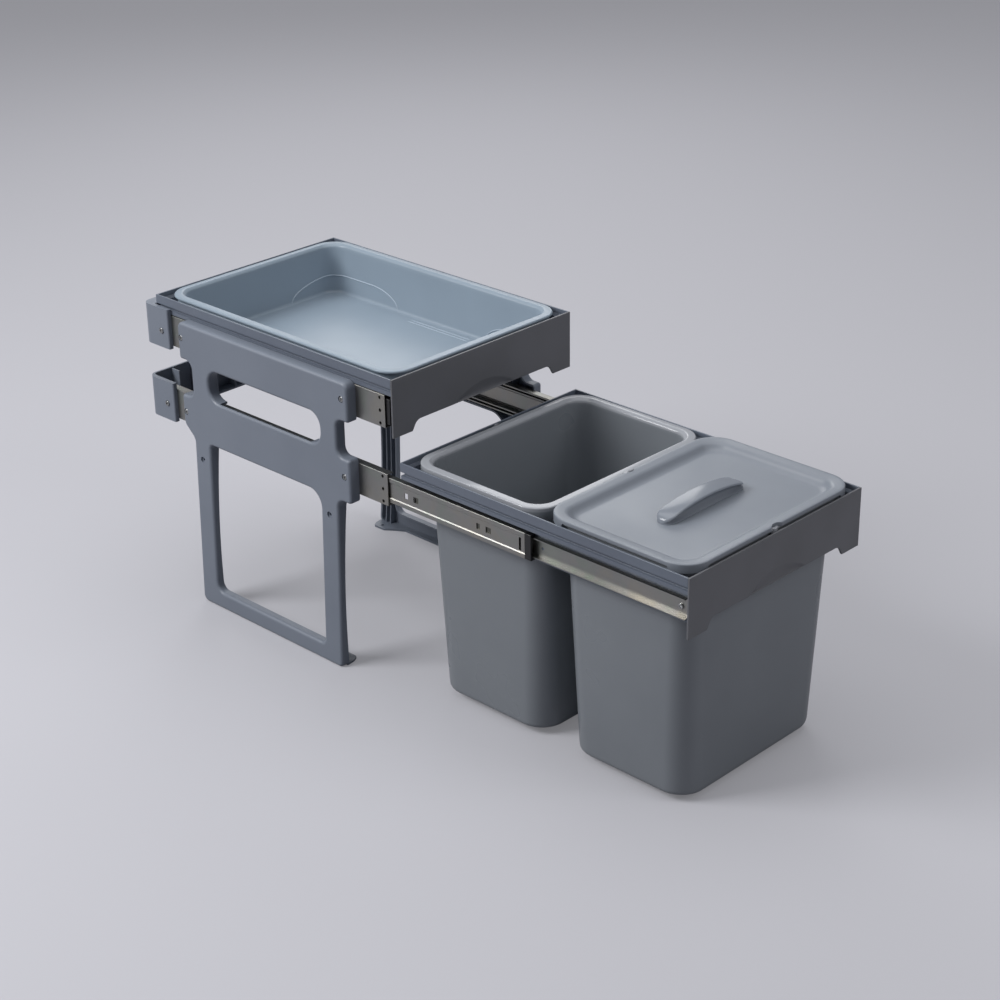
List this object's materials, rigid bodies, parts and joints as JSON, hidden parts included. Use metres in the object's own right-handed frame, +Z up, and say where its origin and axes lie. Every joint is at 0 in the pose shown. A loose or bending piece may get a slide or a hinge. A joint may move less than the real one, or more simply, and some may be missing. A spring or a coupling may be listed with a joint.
{
  "type": "pull-out bin frame",
  "caption": "Cabinet pull-out waste frame: side frames carry two sliding drawer frames, a tray above and two lift-out bins with a lid below.",
  "frame": {"origin": "middle of the four screw holes in the feet, at the cabinet floor", "axes": "+X across the frame to its right seen from the front, +Y to the rear of the cabinet, +Z up; the lower drawer is stored fully open towards -Y"},
  "size_m": [0.364, 0.98, 0.4472],
  "materials": {
    "frame_plastic": "fine moulded texture",
    "drawer_plastic": "satin moulded",
    "bin_plastic": "satin moulded",
    "tray_plastic": "satin moulded",
    "slide_steel": "bright zinc plated",
    "cage_steel": "zinc plated, greased",
    "screw_steel": "zinc plated",
    "buffer_plastic": "black acetal"
  },
  "bodies": {
    "frame": {"left_side_frame": "frame_plastic", "right_side_frame": "frame_plastic", "upper_rear_crossbar": "frame_plastic", "lower_rear_crossbar": "frame_plastic", "slide_fixing_screws": "screw_steel", "crossbar_screws": "screw_steel", "upper_left_outer_slide_member": "slide_steel", "upper_right_outer_slide_member": "slide_steel", "lower_left_outer_slide_member": "slide_steel", "lower_right_outer_slide_member": "slide_steel"},
    "upper_drawer": {"upper_front_panel": "drawer_plastic", "upper_left_rail": "drawer_plastic", "upper_right_rail": "drawer_plastic", "upper_rear_rail": "drawer_plastic", "upper_rail_screws": "screw_steel", "upper_left_inner_slide_member": "slide_steel", "upper_right_inner_slide_member": "slide_steel"},
    "upper_left_middle_member": {"upper_left_middle_slide_member": "slide_steel", "upper_left_middle_slide_buffer": "buffer_plastic"},
    "upper_left_outer_cage": {"upper_left_outer_ball_cage": "cage_steel"},
    "upper_left_inner_cage": {"upper_left_inner_ball_cage": "cage_steel"},
    "upper_right_middle_member": {"upper_right_middle_slide_member": "slide_steel", "upper_right_middle_slide_buffer": "buffer_plastic"},
    "upper_right_outer_cage": {"upper_right_outer_ball_cage": "cage_steel"},
    "upper_right_inner_cage": {"upper_right_inner_ball_cage": "cage_steel"},
    "lower_drawer": {"lower_front_panel": "drawer_plastic", "lower_left_rail": "drawer_plastic", "lower_right_rail": "drawer_plastic", "lower_rear_rail": "drawer_plastic", "lower_rail_screws": "screw_steel", "lower_left_inner_slide_member": "slide_steel", "lower_right_inner_slide_member": "slide_steel"},
    "lower_left_middle_member": {"lower_left_middle_slide_member": "slide_steel", "lower_left_middle_slide_buffer": "buffer_plastic"},
    "lower_left_outer_cage": {"lower_left_outer_ball_cage": "cage_steel"},
    "lower_left_inner_cage": {"lower_left_inner_ball_cage": "cage_steel"},
    "lower_right_middle_member": {"lower_right_middle_slide_member": "slide_steel", "lower_right_middle_slide_buffer": "buffer_plastic"},
    "lower_right_outer_cage": {"lower_right_outer_ball_cage": "cage_steel"},
    "lower_right_inner_cage": {"lower_right_inner_ball_cage": "cage_steel"},
    "tray": {"tray": "tray_plastic"},
    "rear_bin": {"rear_bin": "bin_plastic"},
    "front_bin": {"front_bin": "bin_plastic"},
    "lid": {"lid": "bin_plastic"}
  },
  "joints": [
    {"name": "upper_drawer_slide", "type": "slide", "parent": "frame", "child": "upper_drawer", "axis": [0, 1, 0], "range_m": [-0.483, 0]},
    {"name": "upper_left_middle_member_slide", "type": "slide", "parent": "frame", "child": "upper_left_middle_member", "axis": [0, 1, 0], "range_m": [-0.2415, 0]},
    {"name": "upper_left_outer_cage_slide", "type": "slide", "parent": "frame", "child": "upper_left_outer_cage", "axis": [0, 1, 0], "range_m": [-0.12075, 0]},
    {"name": "upper_left_inner_cage_slide", "type": "slide", "parent": "frame", "child": "upper_left_inner_cage", "axis": [0, 1, 0], "range_m": [-0.36225, 0]},
    {"name": "upper_right_middle_member_slide", "type": "slide", "parent": "frame", "child": "upper_right_middle_member", "axis": [0, 1, 0], "range_m": [-0.2415, 0]},
    {"name": "upper_right_outer_cage_slide", "type": "slide", "parent": "frame", "child": "upper_right_outer_cage", "axis": [0, 1, 0], "range_m": [-0.12075, 0]},
    {"name": "upper_right_inner_cage_slide", "type": "slide", "parent": "frame", "child": "upper_right_inner_cage", "axis": [0, 1, 0], "range_m": [-0.36225, 0]},
    {"name": "lower_drawer_slide", "type": "slide", "parent": "frame", "child": "lower_drawer", "axis": [0, -1, 0], "range_m": [-0.483, 0]},
    {"name": "lower_left_middle_member_slide", "type": "slide", "parent": "frame", "child": "lower_left_middle_member", "axis": [0, -1, 0], "range_m": [-0.2415, 0]},
    {"name": "lower_left_outer_cage_slide", "type": "slide", "parent": "frame", "child": "lower_left_outer_cage", "axis": [0, -1, 0], "range_m": [-0.12075, 0]},
    {"name": "lower_left_inner_cage_slide", "type": "slide", "parent": "frame", "child": "lower_left_inner_cage", "axis": [0, -1, 0], "range_m": [-0.36225, 0]},
    {"name": "lower_right_middle_member_slide", "type": "slide", "parent": "frame", "child": "lower_right_middle_member", "axis": [0, -1, 0], "range_m": [-0.2415, 0]},
    {"name": "lower_right_outer_cage_slide", "type": "slide", "parent": "frame", "child": "lower_right_outer_cage", "axis": [0, -1, 0], "range_m": [-0.12075, 0]},
    {"name": "lower_right_inner_cage_slide", "type": "slide", "parent": "frame", "child": "lower_right_inner_cage", "axis": [0, -1, 0], "range_m": [-0.36225, 0]},
    {"name": "tray_lift", "type": "slide", "parent": "upper_drawer", "child": "tray", "axis": [0, 0, 1], "range_m": [0, 0.12]},
    {"name": "rear_bin_lift", "type": "slide", "parent": "lower_drawer", "child": "rear_bin", "axis": [0, 0, 1], "range_m": [0, 0.36]},
    {"name": "front_bin_lift", "type": "slide", "parent": "lower_drawer", "child": "front_bin", "axis": [0, 0, 1], "range_m": [0, 0.36]},
    {"name": "lid_lift", "type": "slide", "parent": "front_bin", "child": "lid", "axis": [0, 0, 1], "range_m": [0, 0.08]}
  ],
  "couplings": [
    {"joint": "upper_left_middle_member_slide", "follows": "upper_drawer_slide", "ratio": 0.5},
    {"joint": "upper_left_outer_cage_slide", "follows": "upper_drawer_slide", "ratio": 0.25},
    {"joint": "upper_left_inner_cage_slide", "follows": "upper_drawer_slide", "ratio": 0.75},
    {"joint": "upper_right_middle_member_slide", "follows": "upper_drawer_slide", "ratio": 0.5},
    {"joint": "upper_right_outer_cage_slide", "follows": "upper_drawer_slide", "ratio": 0.25},
    {"joint": "upper_right_inner_cage_slide", "follows": "upper_drawer_slide", "ratio": 0.75},
    {"joint": "lower_left_middle_member_slide", "follows": "lower_drawer_slide", "ratio": 0.5},
    {"joint": "lower_left_outer_cage_slide", "follows": "lower_drawer_slide", "ratio": 0.25},
    {"joint": "lower_left_inner_cage_slide", "follows": "lower_drawer_slide", "ratio": 0.75},
    {"joint": "lower_right_middle_member_slide", "follows": "lower_drawer_slide", "ratio": 0.5},
    {"joint": "lower_right_outer_cage_slide", "follows": "lower_drawer_slide", "ratio": 0.25},
    {"joint": "lower_right_inner_cage_slide", "follows": "lower_drawer_slide", "ratio": 0.75}
  ]
}
